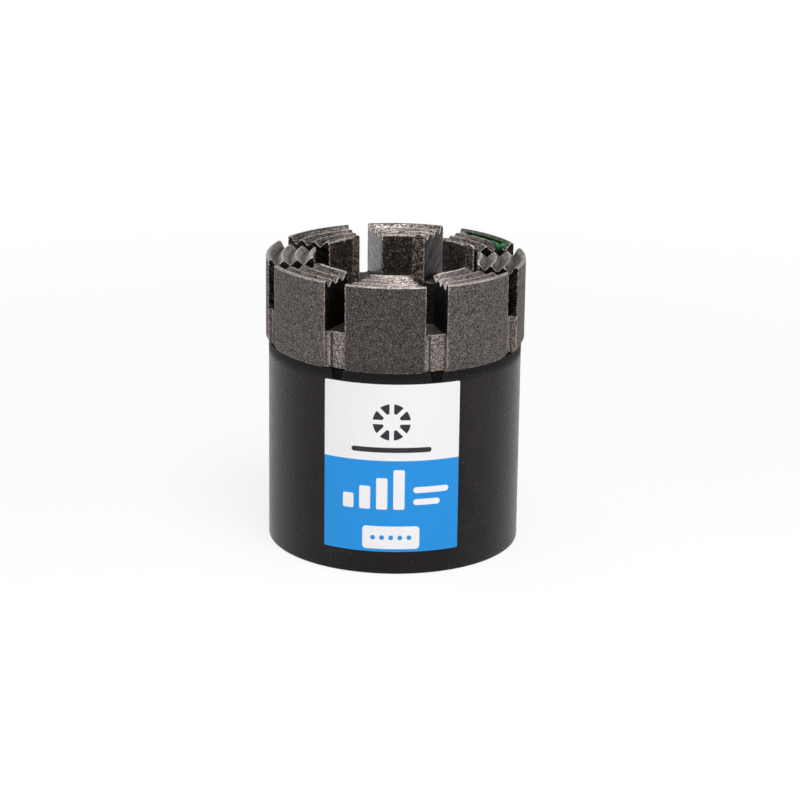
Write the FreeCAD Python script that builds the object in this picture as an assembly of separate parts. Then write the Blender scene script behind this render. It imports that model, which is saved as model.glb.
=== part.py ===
import FreeCAD, Part
import math
import os

# Impregnated diamond core bit, millimetres.
# It stands on the open end of its steel blank with the cutting crown upwards.
# Z is the drilling axis, z = 0 is the lower end face, and one waterway lies on +X.
# The front is -Y, and turns are in degrees about Z, anticlockwise from above.

# Overall sizes
total_height = 85.4
crown_od = 75.5
core_bore = 47.6
crown_height = 25.4
shank_step = 0.85

# Cutting face: ring grooves in the end of every segment, with a plain land left at the rim
ring_count = 3
ring_edge_outer = 2.65
ring_edge_inner = 3.3
ring_depth = 2.0
ring_floor = 0.5
rim_land = 1.2

# Waterways sawn through the crown wall
waterway_count = 8
waterway_width = 6.3
waterway_depth = 14.6

# Flutes down the outside of the crown, one below each waterway
flute_depth = 2.05
flute_ledge_depth = 1.1
flute_ledge_width = 1.25

# Flutes down the core bore, each with a lead-out slope on its far side
inner_flute_depth = 1.2
inner_flute_margin = 0.75
inner_flute_slope = 3.1

# Bevels at the cutting face, and lower edge of the crown
bore_bevel = 0.4
rim_bevel = 0.45
foot_bevel_width = 0.85
foot_bevel_height = 1.65

# Steel neck that the crown is sintered on to
neck_outer_cover = 3.15
neck_inner_cover = 3.4
neck_top_cover = 2.5
neck_bevel = 0.6
key_count = 1
key_width = 1.6
key_depth = 0.8

# Inside of the blank, from the crown down to the mouth
inner_leg = 3.0
seat_ledge = 1.0
seat_width = 2.1
thread_depth = 42.0
thread_relief = 4.0
relief_step = 0.6
skirt_wall = 3.8
mouth_length = 3.0
mouth_step = 0.5
mouth_bevel = 0.8
shank_bevel = 0.5

# Run-outs of the two front flutes into the steel, placed by waterways from the one on +X
runout_places = (-2, -3)
runout_length = 2.8
runout_width_top = 4.0
runout_width_end = 3.1
runout_end_depth = 0.45
runout_shift = 0.5

# Sticker on the shank, between a lower and an upper margin of bare steel
label_width = 40.0
label_margin_low = 6.9
label_margin_high = 3.1
label_thickness = 0.12
label_angle = -19.1

# Paint mark in the outermost ring groove, from one turn to another off the front
paint_start_angle = 96.5
paint_end_angle = 129.5
paint_level = 0.55
drop_count = 2
drop_radius = 0.75
drop_gap = 2.4

# Worked-out places
crown_r = crown_od / 2
bore_r = core_bore / 2
shank_r = crown_r - shank_step
joint_z = total_height - crown_height
waterway_floor_z = total_height - waterway_depth
half_slot = waterway_width / 2
pitch_angle = 360.0 / waterway_count
flute_floor_r = crown_r - flute_depth
neck_outer_r = crown_r - neck_outer_cover
neck_inner_r = bore_r + neck_inner_cover
neck_top_z = waterway_floor_z - neck_top_cover
leg_z = joint_z - inner_leg
seat_r = neck_inner_r - seat_ledge
case_bore_r = seat_r + seat_width
thread_root_r = shank_r - skirt_wall
outer_ring_r = crown_r - ring_edge_outer
inner_ring_r = bore_r + ring_edge_inner
ring_floor_z = total_height - ring_depth
front_angle = -90.0
reach = 1.0

axis_base = FreeCAD.Vector(0, 0, 0)
axis_up = FreeCAD.Vector(0, 0, 1)


def turned(points):
    """Solid of revolution from (radius, height) points."""
    corners = [FreeCAD.Vector(r, 0, z) for r, z in points]
    outline = Part.makePolygon(corners + corners[:1])
    return Part.Face(outline).revolve(axis_base, axis_up, 360)


def upright(points, low, high):
    """Upright prism from (along +X, across) points in plan."""
    corners = [FreeCAD.Vector(x, y, low) for x, y in points]
    outline = Part.makePolygon(corners + corners[:1])
    return Part.Face(outline).extrude(FreeCAD.Vector(0, 0, high - low))


def block(near, far, left, right, low, high):
    """Upright block that reaches from radius near to far along +X."""
    return upright([(near, left), (far, left), (far, right), (near, right)], low, high)


def turned_to(shape, angle):
    """Copy of a shape turned about the drilling axis."""
    copy = shape.copy()
    copy.rotate(axis_base, axis_up, angle)
    return copy


def around(shape):
    """One copy of a shape at every waterway."""
    return [turned_to(shape, k * pitch_angle) for k in range(waterway_count)]


def neck():
    """Keyed neck of the blank, which the crown grips."""
    body = turned([
        (neck_inner_r, joint_z),
        (neck_outer_r, joint_z),
        (neck_outer_r, neck_top_z - neck_bevel),
        (neck_outer_r - neck_bevel, neck_top_z),
        (neck_inner_r + neck_bevel, neck_top_z),
        (neck_inner_r, neck_top_z - neck_bevel),
    ])
    step = (neck_top_z - joint_z) / (key_count + 1)
    keys = []
    for k in range(key_count):
        middle = joint_z + step * (k + 1)
        keys.append(turned([
            (neck_outer_r + reach, middle - key_width / 2 - reach),
            (neck_outer_r + reach, middle + key_width / 2 + reach),
            (neck_outer_r - key_depth, middle + key_width / 2 - key_depth),
            (neck_outer_r - key_depth, middle - key_width / 2 + key_depth),
        ]))
    return body.cut(keys)


def flute_runout():
    """Tapering end of an outer flute in the top of the shank, on +X."""
    half_top = runout_width_top / 2
    half_end = runout_width_end / 2
    end_z = joint_z - runout_length
    sections = []
    for half, floor_r, z in (
        (half_top, flute_floor_r, joint_z),
        (half_end, shank_r - runout_end_depth, end_z),
    ):
        corners = [
            FreeCAD.Vector(floor_r, runout_shift - half, z),
            FreeCAD.Vector(crown_r + reach, runout_shift - half, z),
            FreeCAD.Vector(crown_r + reach, runout_shift + half, z),
            FreeCAD.Vector(floor_r, runout_shift + half, z),
        ]
        sections.append(Part.makePolygon(corners + corners[:1]))
    return Part.makeLoft(sections, True, True)


def steel_blank():
    """Turned steel blank with its box thread bore and keyed neck."""
    shoulder_z = thread_depth
    relief_r = thread_root_r + relief_step
    mouth_r = thread_root_r + mouth_step
    shank = turned([
        (shank_r - shank_bevel, 0),
        (shank_r, shank_bevel),
        (shank_r, joint_z),
        (neck_inner_r, joint_z),
        (neck_inner_r, leg_z),
        (seat_r, leg_z),
        (case_bore_r, leg_z - seat_width),
        (case_bore_r, shoulder_z),
        (relief_r, shoulder_z),
        (relief_r, shoulder_z - thread_relief),
        (thread_root_r, shoulder_z - thread_relief - relief_step),
        (thread_root_r, mouth_length),
        (mouth_r, mouth_length - mouth_step),
        (mouth_r, mouth_bevel),
        (mouth_r + mouth_bevel, 0),
    ])
    runouts = [turned_to(flute_runout(), k * pitch_angle) for k in runout_places]
    return shank.fuse(neck()).removeSplitter().cut(runouts)


def ring_grooves():
    """The round V grooves of the cutting face, steeper beside the land at the rim."""
    floor = ring_floor / 2
    mouth = floor + ring_depth
    pitch = (outer_ring_r - inner_ring_r) / (ring_count - 1)
    grooves = []
    for k in range(ring_count):
        middle = outer_ring_r - k * pitch
        edge = min(middle + mouth, crown_r - rim_land)
        run = (edge - middle - floor) / ring_depth
        grooves.append(turned([
            (middle - floor, ring_floor_z),
            (middle + floor, ring_floor_z),
            (edge + reach * run, total_height + reach),
            (middle - mouth - reach, total_height + reach),
        ]))
    return grooves


def outer_flute():
    """Deep floor and shallow ledge of one outer flute, on +X."""
    low = joint_z - reach
    high = waterway_floor_z + reach
    far = crown_r + reach
    deep = block(flute_floor_r, far, flute_ledge_width - half_slot, half_slot, low, high)
    ledge = block(crown_r - flute_ledge_depth, far, -half_slot, half_slot, low, high)
    return deep.fuse(ledge)


def inner_flute():
    """One flute of the core bore, on +X, with its slope on the far side."""
    floor_r = bore_r + inner_flute_depth
    slope_end = half_slot + inner_flute_slope
    return upright([
        (0, inner_flute_margin - half_slot),
        (floor_r, inner_flute_margin - half_slot),
        (floor_r, half_slot),
        (math.sqrt(bore_r ** 2 - slope_end ** 2), slope_end),
        (0, slope_end),
    ], leg_z - reach, total_height + reach)


def crown():
    """Sintered crown: segments, waterways, flutes and ring grooves in one piece."""
    body = turned([
        (bore_r, total_height - bore_bevel),
        (bore_r + bore_bevel, total_height),
        (crown_r - rim_bevel, total_height),
        (crown_r, total_height - rim_bevel),
        (crown_r, joint_z + foot_bevel_height),
        (crown_r - foot_bevel_width, joint_z),
        (neck_inner_r, joint_z),
        (neck_inner_r, leg_z),
        (seat_r, leg_z),
        (bore_r, leg_z + seat_r - bore_r),
    ])
    slot = block(0, crown_r + reach, -half_slot, half_slot, waterway_floor_z, total_height + reach)
    body = body.cut(neck())
    body = body.cut(ring_grooves())
    body = body.cut(around(slot))
    body = body.cut(around(outer_flute()))
    return body.cut(around(inner_flute()))


def swept(inner, outer, low, high, start, end):
    """Rectangular section swept about the axis, from one turn off the front to another."""
    corners = [
        FreeCAD.Vector(inner, 0, low),
        FreeCAD.Vector(outer, 0, low),
        FreeCAD.Vector(outer, 0, high),
        FreeCAD.Vector(inner, 0, high),
    ]
    section = Part.Face(Part.makePolygon(corners + corners[:1]))
    return turned_to(section.revolve(axis_base, axis_up, end - start), front_angle + start)


def label():
    """Thin sticker wrapped round the shank."""
    half_sweep = math.degrees(label_width / shank_r) / 2
    return swept(
        shank_r, shank_r + label_thickness,
        label_margin_low, joint_z - label_margin_high,
        label_angle - half_sweep, label_angle + half_sweep,
    )


def paint_mark(crown_shape):
    """Paint run along the outermost ring groove, with drops at its end."""
    half = ring_floor / 2 + paint_level
    paint_z = ring_floor_z + paint_level
    paint = swept(
        outer_ring_r - half, outer_ring_r + half,
        ring_floor_z - reach, paint_z,
        paint_start_angle, paint_end_angle,
    )
    centre = FreeCAD.Vector(outer_ring_r, 0, paint_z)
    for k in range(drop_count):
        turn = front_angle + paint_start_angle + math.degrees(k * drop_gap / outer_ring_r)
        paint = paint.fuse(turned_to(Part.makeSphere(drop_radius, centre), turn))
    return paint.cut(crown_shape)


def write(name, shape):
    """Save one piece and print what it measures."""
    shape.exportStep("parts/" + name + ".step")
    box = shape.BoundBox
    print(
        name,
        "solids", len(shape.Solids),
        "valid", shape.isValid(),
        "volume", round(shape.Volume, 1),
        "z", round(box.ZMin, 2), round(box.ZMax, 2),
    )


os.makedirs("parts", exist_ok=True)
crown_piece = crown()
write("steel_blank", steel_blank())
write("crown", crown_piece)
write("label", label())
write("paint_mark", paint_mark(crown_piece))
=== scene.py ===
# %% [markdown]
# # A diamond core bit, finished for the studio
#
# A core bit is a ring that drills. A black steel blank carries a crown of sintered
# metal with diamond grit all through it. Eight waterways cut the crown into segments,
# and three ring grooves run round the cutting face.
#
# The solid model is already there as a frame, in metres. These cells build the
# surfaces that the eye sees around it: the worn edges, the grain of the sinter, the
# turning marks, the label and the paint.

import math

import bmesh
import bpy
import numpy as np
from mathutils import Matrix, Vector, kdtree, noise


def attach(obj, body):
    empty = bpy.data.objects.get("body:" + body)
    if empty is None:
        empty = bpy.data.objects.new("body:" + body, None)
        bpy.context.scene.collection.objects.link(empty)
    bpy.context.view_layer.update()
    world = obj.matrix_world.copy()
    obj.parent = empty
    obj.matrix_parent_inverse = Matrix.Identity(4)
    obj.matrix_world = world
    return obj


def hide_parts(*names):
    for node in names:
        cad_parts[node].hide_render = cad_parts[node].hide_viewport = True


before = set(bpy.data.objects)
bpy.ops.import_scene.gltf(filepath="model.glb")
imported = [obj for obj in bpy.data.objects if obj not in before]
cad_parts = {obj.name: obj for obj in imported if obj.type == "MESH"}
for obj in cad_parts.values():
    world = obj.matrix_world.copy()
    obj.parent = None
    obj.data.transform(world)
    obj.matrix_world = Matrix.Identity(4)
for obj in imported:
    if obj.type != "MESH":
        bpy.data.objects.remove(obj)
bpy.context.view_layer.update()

# %% [markdown]
# ## The camera
#
# A studio shot of a small part is taken from a metre away with a long lens, so the
# rims look nearly like true ellipses. The camera could be aimed with a constraint, but
# three turns say it more plainly: first a slight roll, then the tilt down, then the
# heading. It goes first because every later choice is judged through it.

# %% Camera
mm = 0.001
camera_distance = 806.4 * mm
camera_height = 293.3 * mm
camera_azimuth = math.radians(-18.1)
camera_heading = math.radians(-18.22)
camera_tilt = math.radians(17.38)
camera_roll = math.radians(0.7245)
camera_lens = 128.97
camera_sensor = 36.0
camera_range = (0.05, 20.0)


def put(name, data):
    """Makes an object of a mesh, a lamp or a camera and links it into the scene."""
    thing = bpy.data.objects.new(name, data)
    bpy.context.scene.collection.objects.link(thing)
    return thing


camera_data = bpy.data.cameras.new("studio_camera")
camera_data.lens = camera_lens
camera_data.sensor_width = camera_sensor
camera_data.clip_start, camera_data.clip_end = camera_range
camera = put("studio_camera", camera_data)
camera.matrix_world = (
    Matrix.Translation((
        camera_distance * math.sin(camera_azimuth),
        -camera_distance * math.cos(camera_azimuth),
        camera_height,
    ))
    @ Matrix.Rotation(camera_heading, 4, "Z")
    @ Matrix.Rotation(math.pi / 2 - camera_tilt, 4, "X")
    @ Matrix.Rotation(camera_roll, 4, "Z")
)
bpy.context.scene.camera = camera
print("camera at", [round(v, 3) for v in camera.location])

# %% [markdown]
# ## Sizes
#
# All lengths below are in millimetres, as on a drawing, and are turned into metres
# only when a mesh is made. They are the sizes of the real bit: a 75.5 mm crown over a
# 47.6 mm core.

# %% Sizes in millimetres
crown_r = 37.75
bore_r = 23.8
shank_r = 36.9
total_height = 85.4
slot_floor_z = 70.8
joint_z = 60.0
leg_z = 57.0

half_slot = 3.15
slot_count = 8
slot_angle = 2 * math.pi / slot_count

ring_count = 3
outer_ring_r = 35.1
ring_pitch = 4.0
ring_depth = 2.0
ring_floor = 0.5
rim_land = 1.2
rim_round = 0.55
land_edge_worn = 0.15

deep_x = 35.7
ledge_x = 36.65
ledge_y = -1.9
inner_flute_x = 25.0
inner_flute_y = -2.4
slope_y = 6.25

foot_z = 61.65
foot_r = 36.9
seat_r = 26.2
neck_outer_r = 34.6
neck_inner_r = 27.2
neck_top_z = 68.3
neck_bevel = 0.6
key_z = 64.15
key_depth = 0.8

print("crown", crown_r * 2, "mm across, bore", bore_r * 2, "mm")

# %% [markdown]
# ## Weaving a surface from patches
#
# The crown is a block of faces that all meet along sharp lines. A boolean cut would
# give that shape, but with long thin faces that can't be worn or roughened. Here each
# face is laid out as its own grid of points instead. Neighbours share the points along
# their common line, so welding the grids leaves one closed skin, fine along the edges,
# where wear shows, and coarse elsewhere.

# %% Patches that weld into one skin
weld_distance = 0.002


class Skin:
    """Grids of points, each with a finish, that are welded into one closed mesh."""

    def __init__(self):
        self.points = []
        self.faces = []
        self.finishes = []

    def grid(self, points, finish):
        """Adds a grid of points, rows by columns, as quads."""
        rows, columns = points.shape[:2]
        first = len(self.points)
        self.points.extend(points.reshape(-1, 3).tolist())
        for i in range(rows - 1):
            for j in range(columns - 1):
                a = first + i * columns + j
                self.faces.append((a, a + 1, a + columns + 1, a + columns))
                self.finishes.append(finish)

    def zip(self, loop_a, loop_b, finish):
        """Joins two closed loops of different counts, both listed by rising angle."""
        first = len(self.points)
        self.points.extend(loop_a.tolist() + loop_b.tolist())
        turns = [np.unwrap(np.arctan2(p[:, 1], p[:, 0])) for p in (loop_a, loop_b)]
        turns[1] += 2 * math.pi * round((turns[0][0] - turns[1][0]) / (2 * math.pi))
        count_a, count_b = len(loop_a), len(loop_b)
        i = j = 0
        while i < count_a or j < count_b:
            next_a = turns[0][(i + 1) % count_a] + 2 * math.pi * ((i + 1) // count_a)
            next_b = turns[1][(j + 1) % count_b] + 2 * math.pi * ((j + 1) // count_b)
            a = first + i % count_a
            b = first + count_a + j % count_b
            if j >= count_b or (i < count_a and next_a <= next_b):
                self.faces.append((a, first + (i + 1) % count_a, b))
                i += 1
            else:
                self.faces.append((a, first + count_a + (j + 1) % count_b, b))
                j += 1
            self.finishes.append(finish)

    def weld(self, name, finishes):
        """Makes the mesh object, in metres, with one material slot for each finish."""
        mesh = bpy.data.meshes.new(name)
        mesh.from_pydata((np.array(self.points) * mm).tolist(), [], self.faces)
        mesh.polygons.foreach_set("material_index", self.finishes)
        for finish in finishes:
            mesh.materials.append(finish)
        bm = bmesh.new()
        bm.from_mesh(mesh)
        bmesh.ops.remove_doubles(bm, verts=bm.verts, dist=weld_distance * mm)
        bmesh.ops.recalc_face_normals(bm, faces=bm.faces)
        bm.to_mesh(mesh)
        bm.free()
        return put(name, mesh)


def polar(radius, angle, height):
    """Points from radius, angle and height arrays that broadcast together."""
    radius, angle, height = np.broadcast_arrays(radius, angle, height)
    return np.stack([radius * np.cos(angle), radius * np.sin(angle), height], -1)


def plan_points(x, y):
    """Points in plan from x and y, where either may be one value for all of them."""
    return np.stack(np.broadcast_arrays(x, y), -1)


def turned(points, angle):
    """The points turned about the drilling axis."""
    c, s = math.cos(angle), math.sin(angle)
    return points @ np.array([[c, s, 0], [-s, c, 0], [0, 0, 1]])


def fractions(count, *extra):
    """Even steps from 0 to 1, with extra ones between."""
    return np.unique(np.round(np.concatenate([np.linspace(0, 1, count), extra]), 6))


print("patches are ready to weld")

# %% [markdown]
# ## The crown's plan
#
# Seen from above, a segment lies between two waterways whose walls are parallel, not
# radial. So its points are laid out column by column: on each radius the first and the
# last point touch a wall, and the rest are spread between them. The columns crowd
# together at the crests of the ring grooves. At the bore the segment starts with the
# slope of the inner flute and ends with a plain arc.

# %% Columns and steps of a segment
corner_r = math.hypot(inner_flute_x, half_slot)
deep_r = math.hypot(deep_x, half_slot)
ledge_r = math.hypot(ledge_x, half_slot)
groove_mouth = ring_floor / 2 + ring_depth
land_edge_r = crown_r - rim_land
flank_steps = (ring_floor / 2, 0.8, 1.4, 1.8, 2.0)
rim_steps = (
    0.0, 0.03, 0.1, 0.2, 0.35, rim_round, 0.85, 1.0,
    1.1, rim_land, 1.3, 1.4, 1.55, 1.8, 2.1,
)

columns = {corner_r, deep_r, ledge_r} | {crown_r - step for step in rim_steps}
for k in range(ring_count):
    for step in flank_steps:
        columns.add(outer_ring_r - k * ring_pitch - step)
        if k > 0 or step == flank_steps[0]:
            columns.add(outer_ring_r - k * ring_pitch + step)
columns = np.array([r for r in sorted(columns) if corner_r <= r <= crown_r])
deep_column = int(np.searchsorted(columns, deep_r))
ledge_column = int(np.searchsorted(columns, ledge_r))

near_edge = np.array([0.005, 0.013, 0.026, 0.047])
slope_end = 0.2624
near_slope = (slope_end - 0.009, slope_end, slope_end + 0.009)
across = fractions(52, *near_edge, *(1 - near_edge), *near_slope)
land_steps = np.array([0.0, 0.12, 0.3, 0.55, 0.8, 1.0])
near_top = (0.008, 0.02, 0.042)
down = 1 - fractions(20, *near_top)
print(len(columns), "columns,", len(across), "steps across,", len(down), "rows down")


# %% Section and plan of a segment
land_round_r = 24.5
land_round_width = 0.7
land_round_drop = 0.5
land_edge_width = 0.35


def face_height(radius):
    """Height of the cutting face: the lands, less the V of each groove."""
    depth = np.zeros_like(radius)
    for k in range(ring_count):
        middle = outer_ring_r - k * ring_pitch
        inward = groove_mouth - (middle - radius)
        floor_edge = middle + ring_floor / 2
        mouth_edge = min(middle + groove_mouth, land_edge_r)
        outward = (mouth_edge - radius) / (mouth_edge - floor_edge) * ring_depth
        depth = np.maximum(depth, np.clip(np.minimum(inward, outward), 0, ring_depth))
    rounding = np.clip((land_round_r - radius) / land_round_width, 0, 1) ** 2
    over = np.clip(radius - (crown_r - rim_round), 0, rim_round)
    rim_drop = rim_round - np.sqrt(rim_round ** 2 - over ** 2)
    worn = land_edge_worn * np.clip(1 - abs(radius - land_edge_r) / land_edge_width, 0, 1) ** 2
    return total_height - depth - land_round_drop * rounding - rim_drop - worn


def bore_edge(s):
    """Plan points of the segment's bore side: the flute's slope, then the arc."""
    slope_angle = math.asin(slope_y / bore_r)
    last_angle = slot_angle - math.asin(half_slot / bore_r)
    start = np.array([inner_flute_x, half_slot])
    end = bore_r * np.array([math.cos(slope_angle), math.sin(slope_angle)])
    on_slope = start + np.outer(np.clip(s / slope_end, 0, 1), end - start)
    turn = slope_angle + np.clip((s - slope_end) / (1 - slope_end), 0, 1) * (last_angle - slope_angle)
    on_arc = bore_r * np.stack([np.cos(turn), np.sin(turn)], -1)
    return np.where((s < slope_end)[:, None], on_slope, on_arc)


def segment_plan():
    """Plan of one segment beside the waterway on +X: columns by steps across, by x and y."""
    wall = np.arcsin(half_slot / columns)[:, None]
    turn = wall + across * (slot_angle - 2 * wall)
    outside = polar(columns[:, None], turn, 0.0)[..., :2]
    inside = bore_edge(across)
    first = outside[0]
    near, far = np.linalg.norm(inside, axis=1), np.linalg.norm(first, axis=1)
    land_r = outer_ring_r - (ring_count - 1) * ring_pitch - groove_mouth
    land = np.clip((land_r - near) / np.maximum(far - near, 0.01), 0.0, 1.0)
    steps = [land * u for u in land_steps] + [land + (1 - land) * 0.5]
    rows = [inside + u[:, None] * (first - inside) for u in steps]
    return np.concatenate([np.array(rows), outside]), steps


plan, bore_steps = segment_plan()
plan_heights = face_height(np.linalg.norm(plan, axis=-1))
bore_fractions = np.array([u[-1] for u in bore_steps] + [1.0])
print("plan of a segment:", plan.shape[0], "by", plan.shape[1], "points")

# %% [markdown]
# ## Segments, flutes and the ring below
#
# One segment is five grids: the grooved top, two sawn walls, the outside and the bore
# side. The ring under it follows one long contour that steps in and out at each flute.
# The contour is drawn once and dropped down row by row. Each face also gets the number
# of its finish, because a sawn wall looks nothing like a pressed one.

# %% Steps across a waterway and down the ring
SKIN, PRESSED, BORE, FLUTE, SAWN = range(5)

slot_steps = np.array([
    -half_slot, -3.02, -2.75, inner_flute_y, -2.15, ledge_y, -1.7, -1.2,
    -0.4, 0.4, 1.2, 1.9, 2.5, 2.9, 3.05, half_slot,
])
margin_steps = slot_steps[slot_steps <= inner_flute_y]
ledge_steps = slot_steps[slot_steps <= ledge_y]
deep_steps = slot_steps[slot_steps >= ledge_y]
flute_steps = slot_steps[slot_steps >= inner_flute_y]
wall_x = np.sqrt(columns ** 2 - half_slot ** 2)

skirt_rows = np.concatenate([
    np.linspace(slot_floor_z, foot_z, 16),
    foot_z - (foot_z - joint_z) * np.array([0.1, 0.35, 0.65, 0.9, 1.0]),
])
cone_top_z = leg_z + seat_r - bore_r
bore_rows = np.concatenate([
    np.linspace(slot_floor_z, cone_top_z, 17),
    np.linspace(cone_top_z, leg_z, 6)[1:],
])
print("rows down the ring:", len(skirt_rows), "outside,", len(bore_rows), "inside")


# %% Grids of a segment
def drop(xy, heights):
    """A plan contour repeated at each height: rows by points."""
    xy = np.broadcast_to(xy, (len(heights),) + xy.shape[-2:])
    z = np.broadcast_to(np.asarray(heights)[:, None, None], xy.shape[:2] + (1,))
    return np.concatenate([xy, z], -1)


def segment_grids():
    """The five faces of a segment above the waterway floor."""
    top = np.concatenate([plan, plan_heights[..., None]], -1)
    grids = [(top, PRESSED)]
    every = slice(None)
    edges = (((every, 0), SAWN), ((every, -1), SAWN), ((-1,), SKIN), ((0,), BORE))
    for index, finish in edges:
        edge, height = plan[index], plan_heights[index]
        z = slot_floor_z + down[:, None] * (height - slot_floor_z)
        side = np.concatenate([np.broadcast_to(edge, (len(down),) + edge.shape), z[..., None]], -1)
        grids.append((side, finish))
    return grids


segment = segment_grids()
print("grids of a segment:", [points.shape[:2] for points, _ in segment])


# %% Grids of a waterway's floor and its outer flute
def rim_radius(height):
    """Radius of the crown at a height: the bevel of its foot below foot_z."""
    return np.interp(height, [joint_z, foot_z], [foot_r, crown_r])


def flute_grids():
    """Waterway floor on +X, with the outer flute below it and the wall of the next segment."""
    floor = plan_points(wall_x[:deep_column + 1, None], slot_steps)
    ledge_wall_x = wall_x[deep_column:ledge_column + 1]
    ledge_floor = plan_points(ledge_wall_x[:, None], ledge_steps)
    bore_x = np.sqrt(bore_r ** 2 - margin_steps ** 2)
    margin_x = bore_x + bore_fractions[:, None] * (inner_flute_x - bore_x)
    margin = plan_points(margin_x, margin_steps)
    grids = []
    for part in (floor, ledge_floor, margin):
        grids.append((np.concatenate([part, np.full(part.shape[:2] + (1,), slot_floor_z)], -1), SKIN))
    rim_x = np.sqrt(rim_radius(skirt_rows) ** 2 - half_slot ** 2)[:, None]
    walls = []
    for first, side in ((ledge_column, -half_slot), (deep_column, half_slot)):
        start = wall_x[first]
        x = start + (wall_x[first:] - start) * (rim_x - start) / (wall_x[-1] - start)
        walls.append(plan_points(x, side))
    steps = [
        walls[0][:, ::-1],
        plan_points(ledge_x, ledge_steps),
        plan_points(ledge_wall_x[::-1], ledge_y),
        plan_points(deep_x, deep_steps),
        walls[1],
    ]
    grids += [(drop(step, skirt_rows), FLUTE) for step in steps]
    angle = np.arctan2(plan[-1, :, 1], plan[-1, :, 0])
    wall_angle = np.arcsin(half_slot / rim_radius(skirt_rows))[:, None]
    spread = (angle - angle[0]) / (angle[-1] - angle[0])
    turn = wall_angle + spread * (slot_angle - 2 * wall_angle)
    grids.append((polar(rim_radius(skirt_rows)[:, None], turn, skirt_rows[:, None]), SKIN))
    return grids


skirt = flute_grids()
print("grids of a floor, its flute and the ring beside it:", len(skirt))


# %% Grids of the bore
def bore_contour():
    """Plan of the bore below the waterway floor, from one waterway's wall to the next."""
    margin = plan_points(np.sqrt(bore_r ** 2 - margin_steps ** 2), margin_steps)
    wall_start = margin[-1, 0]
    wall = plan_points(wall_start + bore_fractions * (inner_flute_x - wall_start), inner_flute_y)
    floor = plan_points(inner_flute_x, flute_steps)
    return [margin, wall, floor, plan[0]]


def bore_grids():
    """Bore side of the ring under the segments, with its cone at the lower end."""
    grids = []
    for part in bore_contour():
        walls = drop(part, bore_rows)
        radius = np.linalg.norm(walls[..., :2], axis=-1)
        cone = np.maximum(seat_r - (walls[..., 2] - leg_z), radius)
        walls[..., :2] *= (cone / radius)[..., None]
        grids.append((walls, BORE))
    return grids


bore = bore_grids()
print("grids of the bore at a waterway:", len(bore))

# %% Crown skin
same_point = 1e-4


def closed_loop(grids):
    """Lowest row of some grids, all the way round, with no point twice."""
    part = np.concatenate([points[-1] for points, _ in grids])
    part = part[np.append(True, np.linalg.norm(np.diff(part, axis=0), axis=1) > same_point)][:-1]
    return np.concatenate([turned(part, k * slot_angle) for k in range(slot_count)])


crown_skin = Skin()
for k in range(slot_count):
    for points, finish in segment + skirt + bore:
        crown_skin.grid(turned(points, k * slot_angle), finish)

neck_turns = np.linspace(0, 2 * math.pi, 97)
neck_section = [
    (neck_outer_r, joint_z),
    (neck_outer_r, key_z - key_depth),
    (neck_outer_r - key_depth, key_z),
    (neck_outer_r, key_z + key_depth),
    (neck_outer_r, neck_top_z - neck_bevel),
    (neck_outer_r - neck_bevel, neck_top_z),
    (neck_inner_r + neck_bevel, neck_top_z),
    (neck_inner_r, neck_top_z - neck_bevel),
    (neck_inner_r, leg_z),
]
neck_points = np.array(neck_section)
neck_wall = polar(neck_points[:, :1], neck_turns, neck_points[:, 1:])
crown_skin.grid(neck_wall, BORE)
crown_skin.zip(closed_loop(skirt[3:]), neck_wall[0, :-1], BORE)
crown_skin.zip(closed_loop(bore), neck_wall[-1, :-1], BORE)
print("crown skin:", len(crown_skin.faces), "faces before welding")

# %% [markdown]
# ## Wires and finishes
#
# A finish is a small sum: this much grain, less that much dirt. Drawn as a node tree it
# soon turns into a tangle, so here it is written as a sum. A Wire holds the output of a
# node, and adding or multiplying two wires adds the Math node that does it. Everything
# else comes from one method that takes a node's kind, its settings and its inputs.

# %% Wires for shader sums
class Wire:
    """The output of a node, which can stand in an expression with numbers."""

    def __init__(self, finish, socket):
        self.finish = finish
        self.socket = socket

    def math(self, operation, *values):
        settings = {"operation": operation}
        return self.finish.node("Math", settings, dict(enumerate(values)))

    def __add__(self, other):
        return self.math("ADD", self, other)

    def __radd__(self, other):
        return self.math("ADD", other, self)

    def __sub__(self, other):
        return self.math("SUBTRACT", self, other)

    def __rsub__(self, other):
        return self.math("SUBTRACT", other, self)

    def __mul__(self, other):
        return self.math("MULTIPLY", self, other)

    def __rmul__(self, other):
        return self.math("MULTIPLY", other, self)

    def __truediv__(self, other):
        return self.math("DIVIDE", self, other)

    def __rtruediv__(self, other):
        return self.math("DIVIDE", other, self)

    def __pow__(self, other):
        return self.math("POWER", self, other)

    def __abs__(self):
        return self.math("ABSOLUTE", self)

    def least(self, other):
        return self.math("MINIMUM", self, other)

    def most(self, other):
        return self.math("MAXIMUM", self, other)

    def whole(self):
        """The nearest whole number."""
        return self.math("ROUND", self)

    def sine(self):
        return self.math("SINE", self)

    def between(self, low, high):
        """A soft step: 0 up to low, 1 from high on, or the other way if low is the larger."""
        settings = {"interpolation_type": "SMOOTHSTEP"}
        return self.finish.node("MapRange", settings, {0: self, 1: low, 2: high, 3: 0.0, 4: 1.0})


print("wires can be added, multiplied and stepped")


# %% Colours and nodes
def paint(red, green, blue):
    """A colour as it shows on screen, 0 to 255, in the linear light that shaders use."""
    parts = [v / 255 for v in (red, green, blue)]
    return [v / 12.92 if v <= 0.04045 else ((v + 0.055) / 1.055) ** 2.4 for v in parts] + [1.0]


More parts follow.
